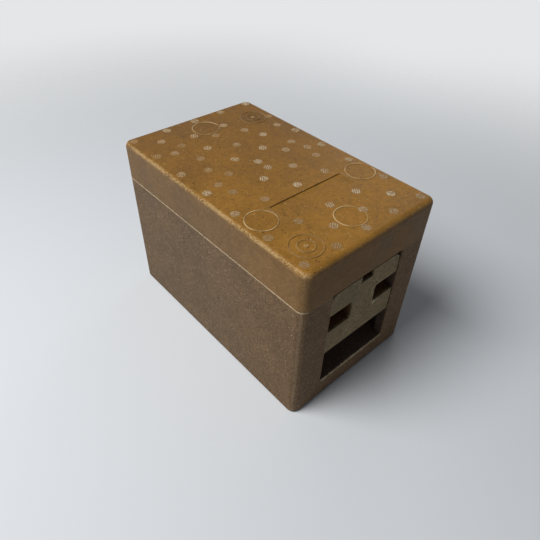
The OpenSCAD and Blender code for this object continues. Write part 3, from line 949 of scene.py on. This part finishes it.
# %% Make the wax
CLOUD_SIZE = 18.0
WAX_SHARE = 0.2
WAX_DEPTH = 2.0
wax, tree, shader, place = start_material("wax")
walls = place_effect(tree, comb, Place=place)["Wall"]
cloud = place_effect(tree, soil, Place=place, Patch_Size=CLOUD_SIZE)["Mask"]
gold = blend_colour(tree, cloud, screen_colour(214, 168, 74), screen_colour(232, 196, 112))
feed(tree, shader.inputs["Base Color"], blend_colour(tree, walls, gold, screen_colour(238, 208, 132)))
feed(tree, shader.inputs["Roughness"], rescale(tree, cloud, 0.0, 1.0, 0.38, 0.52))
shader.inputs["Subsurface Weight"].default_value = WAX_SHARE
shader.inputs["Subsurface Scale"].default_value = WAX_DEPTH * MM
add_relief(tree, shader, walls, strength=0.8, depth=0.4)
print("made", wax.name)

# %% [markdown]
# ## Dress the CAD nodes
# The shapes of the CAD nodes are right, so they stay, and each gets its finish by the material slot that
# the record names for it.

# %% Assign the finishes
FINISHES = {
    "body_foam": body_foam, "lid_foam": lid_foam, "door_foam": door_foam, "grid_plastic": grid_plastic,
    "clear_sheet": clear_sheet, "bar_wood": bar_wood, "wax": wax, "feeder_plastic": feeder_plastic,
}
for part in frame["record"]["subparts"]:
    node = frame["nodes"][part["node"]]
    node.data.materials.clear()
    node.data.materials.append(FINISHES[part["material_slot"]])

# %% [markdown]
# ## Steam-vent marks on the lid
# Steam enters the mould through round vents with a row of slits, and each leaves a disc with raised ribs.
# They are a large part of what the lid looks like. There are more than fifty, and each is turned at random,
# so their places are listed and a seeded generator turns them. The marks are rubbed to different degrees:
# each has a paleness between 0 and 1.

# %% Choose the places of the marks
# Rows from the rear of the lid to the front: distance from the middle in mm, then each mark's place across
# and how pale it has been rubbed.
BOLD, FAIR, FAINT = 1.0, 0.65, 0.35
MARK_ROWS = [
    (116, [(-69, FAINT), (-33, BOLD), (1, BOLD), (34, BOLD), (68, BOLD)]),
    (100, [(-50, FAIR)]),
    (90, [(-18, FAIR), (18, FAIR)]),
    (82, [(-39, FAINT)]),
    (78, [(-68, FAINT), (-1, FAINT), (68, FAINT)]),
    (73, [(-52, FAIR)]),
    (69, [(28, FAIR)]),
    (62, [(-22, FAIR)]),
    (58, [(61, FAIR)]),
    (50, [(-39, FAINT), (3, FAIR), (36, BOLD)]),
    (38, [(-68, FAIR), (68, BOLD)]),
    (30, [(-45, FAINT), (-15, FAIR), (18, BOLD)]),
    (22, [(48, FAIR)]),
    (14, [(-35, FAINT), (-2, BOLD), (33, FAIR)]),
    (5, [(-53, FAINT), (52, FAIR)]),
    (1, [(-68, BOLD), (-1, FAIR), (67, BOLD)]),
    (-11, [(-50, FAINT), (-17, BOLD), (18, FAIR), (48, FAIR)]),
    (-36, [(-68, FAIR), (-36, FAINT), (-1, BOLD), (33, FAIR), (66, FAIR)]),
    (-75, [(-68, FAINT), (-37, FAINT), (-1, FAIR), (31, BOLD), (67, FAIR)]),
    (-96, [(-20, FAIR), (15, FAIR), (50, BOLD)]),
    (-114, [(-68, FAINT), (-36, FAINT), (-2, FAIR), (32, FAIR), (67, FAIR)]),
]
SEED = 7
SCATTER = 0.6
LEAST_PALE = 0.85
dice = random.Random(SEED)
marks = []
for y, row in MARK_ROWS:
    for x, wear in row:
        spot = (x + dice.uniform(-SCATTER, SCATTER), y + dice.uniform(-SCATTER, SCATTER))
        marks.append((spot, dice.uniform(0, math.pi), wear * dice.uniform(LEAST_PALE, 1.0)))
print(len(marks), "marks on a lid whose top is at", round(lid_top / MM, 1), "mm")

# %% [markdown]
# A disc and a rib are both closed solids through a few rings of points, so one function builds them. They
# could be a bump in the lid's finish, but the ribs catch the light from the side, and there a bump looks
# flat. The foot of each solid is sunk in the lid. The paleness is stored on the points, where the finish can
# read it.

# %% Write the solids of a mark
DISC_R = 4.2
DISC_RISE = 0.10
DISC_BEVEL = 0.35
DISC_SIDES = 28
RIB_R = 3.7
RIB_W = 0.75
RIB_RISE = 0.30
RIB_BEVEL = 0.12
RIB_PLACES = [-2.7, -0.9, 0.9, 2.7]
SUNK = -0.5
DISC_PROFILE = [(DISC_R, SUNK), (DISC_R, 0.0), (DISC_R - DISC_BEVEL, DISC_RISE)]
RIB_SECTION = [(-0.5, SUNK), (0.5, SUNK), (0.5, RIB_RISE - RIB_BEVEL), (0.25, RIB_RISE),
               (-0.25, RIB_RISE), (-0.5, RIB_RISE - RIB_BEVEL)]


def add_solid(mesh, layer, value, rings):
    """A closed solid through rings of points, each with the same count, capped at both ends."""
    made = [[mesh.verts.new(point) for point in ring] for ring in rings]
    for ring in made:
        for corner in ring:
            corner[layer] = value
    count = len(rings[0])
    for low, high in zip(made, made[1:]):
        for i in range(count):
            j = (i + 1) % count
            mesh.faces.new((low[i], low[j], high[j], high[i]))
    mesh.faces.new(list(reversed(made[0])))
    mesh.faces.new(made[-1])


def mark_point(spot, turn, along, across, rise):
    """A point of a mark, from its own directions in mm to the lid in metres."""
    x = spot[0] + along * math.cos(turn) - across * math.sin(turn)
    y = spot[1] + along * math.sin(turn) + across * math.cos(turn)
    return Vector((x * MM, y * MM, lid_top + rise * MM))


def make_object(name, mesh):
    """Turns a finished bmesh into an object in the scene, with its faces looking outwards."""
    bmesh.ops.recalc_face_normals(mesh, faces=mesh.faces)
    data = bpy.data.meshes.new(name)
    mesh.to_mesh(data)
    mesh.free()
    made = bpy.data.objects.new(name, data)
    bpy.context.scene.collection.objects.link(made)
    return made


print("a mark is", 2 * DISC_R, "mm wide with", len(RIB_PLACES), "ribs")

# %% [markdown]
# All the marks go into one mesh, which rides on the lid's body and lifts off with it. The ribs stay below
# the ridges of the rings, so the marks add nothing to the height.

# %% Build the marks
DISC_PALE = 0.22
marks_mesh = bmesh.new()
paleness = marks_mesh.verts.layers.float.new("paleness")
for spot, turn, pale in marks:
    rings = []
    for radius, rise in DISC_PROFILE:
        angles = [math.tau * i / DISC_SIDES for i in range(DISC_SIDES)]
        rings.append([mark_point(spot, turn, radius * math.cos(a), radius * math.sin(a), rise)
                      for a in angles])
    add_solid(marks_mesh, paleness, DISC_PALE * pale, rings)
    for across in RIB_PLACES:
        reach = math.sqrt(RIB_R ** 2 - across ** 2)
        rings = [[mark_point(spot, turn, end, across + RIB_W * side, rise) for side, rise in RIB_SECTION]
                 for end in (-reach, reach)]
        add_solid(marks_mesh, paleness, pale, rings)
vent_marks = make_object("lid_vent_marks", marks_mesh)
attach(vent_marks, "roof")
print("vent marks:", len(vent_marks.data.polygons), "faces")

# %% [markdown]
# The finish of the marks runs from the lid's own colour to a dusty pale grey, by the paleness stored on
# the points and a little noise.

# %% Make the foam of the marks
DUST_SIZE = 1.4
DUST_GAPS = (0.34, 0.60, 0.10, 1.0)
mark_foam, tree, shader, place = start_material("vent mark foam")
stored = add(tree, "Attribute", {"attribute_name": "paleness"}).outputs["Fac"]
dust = noise(tree, place, DUST_SIZE, 3.0)
share = times(tree, stored, rescale(tree, dust, *DUST_GAPS))
dusty = blend_colour(tree, share, screen_colour(125, 90, 41), screen_colour(204, 192, 166))
feed(tree, shader.inputs["Base Color"], dusty)
feed(tree, shader.inputs["Roughness"], rescale(tree, dust, *NOISE_SPAN, 0.45, 0.65))
shader.inputs["Specular IOR Level"].default_value = FOAM_SHINE
add_relief(tree, shader, dust, strength=0.4, depth=0.05)
vent_marks.data.materials.append(mark_foam)
print("made", mark_foam.name)

# %% [markdown]
# ## The flash line
# Where the two halves of the mould meet, foam squeezes out as a thin line. Here it runs round the lid's
# lower edge and shows as a pale thread along the joint. A curve with a round bevel would stand out of the
# wall, so a small section is swept round the outline of the box instead. Its outer edge is flush with the
# wall, and it stays above the joint, so that it lifts off with the lid.

# %% Sweep the flash line
CORNER_R = 8.0
CORNER_STEPS = 8
FLASH_SECTION = [(-1.2, 0.05), (-0.15, 0.05), (0.0, 0.25), (-0.15, 0.50), (-1.2, 0.60)]
joint_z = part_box("hive_body")[1][2]
flash_mesh = bmesh.new()
rings = []
for corner, (side_x, side_y) in enumerate([(1, 1), (-1, 1), (-1, -1), (1, -1)]):
    for step in range(CORNER_STEPS + 1):
        angle = math.radians(90 * corner + 90 * step / CORNER_STEPS)
        ring = []
        for out_by, rise in FLASH_SECTION:
            x = side_x * (half_width - CORNER_R) + (CORNER_R + out_by) * math.cos(angle)
            y = side_y * (half_length - CORNER_R) + (CORNER_R + out_by) * math.sin(angle)
            ring.append(flash_mesh.verts.new((x * MM, y * MM, joint_z + rise * MM)))
        rings.append(ring)
for ring, after in zip(rings, rings[1:] + rings[:1]):
    for i in range(len(FLASH_SECTION)):
        j = (i + 1) % len(FLASH_SECTION)
        flash_mesh.faces.new((ring[i], after[i], after[j], ring[j]))
flash_line = make_object("lid_flash_line", flash_mesh)
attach(flash_line, "roof")
print("flash line:", len(flash_line.data.polygons), "faces at", round(joint_z / MM, 1), "mm")

# %% [markdown]
# The line is rubbed off in places, so its colour changes between the wall's brown and a pale one.

# %% Make the foam of the flash line
BREAK_SIZE = 9.0
RUBBED_OFF = (0.38, 0.62)
flash_foam, tree, shader, place = start_material("flash foam")
breaks = noise(tree, place, BREAK_SIZE, 3.0)
broken = blend_colour(tree, rescale(tree, breaks, *RUBBED_OFF), screen_colour(114, 94, 70),
                      screen_colour(172, 150, 124))
feed(tree, shader.inputs["Base Color"], broken)
feed(tree, shader.inputs["Roughness"], rescale(tree, breaks, *NOISE_SPAN, 0.40, 0.60))
shader.inputs["Specular IOR Level"].default_value = FOAM_SHINE
flash_line.data.materials.append(flash_foam)
print("made", flash_foam.name)

# %% [markdown]
# ## The floor
# A wide plain sheet, so that the box stands on something and has a shadow. It is pale, and what it throws
# back keeps the shade readable. It is part of the stage. Far from the box it fades out into the backdrop, so
# that no horizon crosses the picture.

# %% Make the floor
FLOOR_HALF = 4.0
FADE_FROM = 250.0
FADE_TO = 1100.0
floor_data = bpy.data.meshes.new("floor")
corners = [(-FLOOR_HALF, -FLOOR_HALF, 0), (FLOOR_HALF, -FLOOR_HALF, 0), (FLOOR_HALF, FLOOR_HALF, 0),
           (-FLOOR_HALF, FLOOR_HALF, 0)]
floor_data.from_pydata(corners, [], [(0, 1, 2, 3)])
floor = bpy.data.objects.new("floor", floor_data)
bpy.context.scene.collection.objects.link(floor)
pale_floor, tree, shader, place = start_material("pale floor")
shader.inputs["Base Color"].default_value = (0.66, 0.68, 0.70, 1)
shader.inputs["Roughness"].default_value = 0.8
shader.inputs["Specular IOR Level"].default_value = 0.1
vanish = tree.nodes.new("ShaderNodeMixShader")
feed(tree, vanish.inputs[0], rescale(tree, how_far(tree, place, (0.0, 0.0, 0.0)), FADE_FROM, FADE_TO))
feed(tree, vanish.inputs[1], shader.outputs[0])
feed(tree, vanish.inputs[2], tree.nodes.new("ShaderNodeBsdfTransparent").outputs[0])
feed(tree, tree.nodes["Material Output"].inputs["Surface"], vanish.outputs[0])
floor_data.materials.append(pale_floor)
print("floor", 2 * FLOOR_HALF, "m wide")
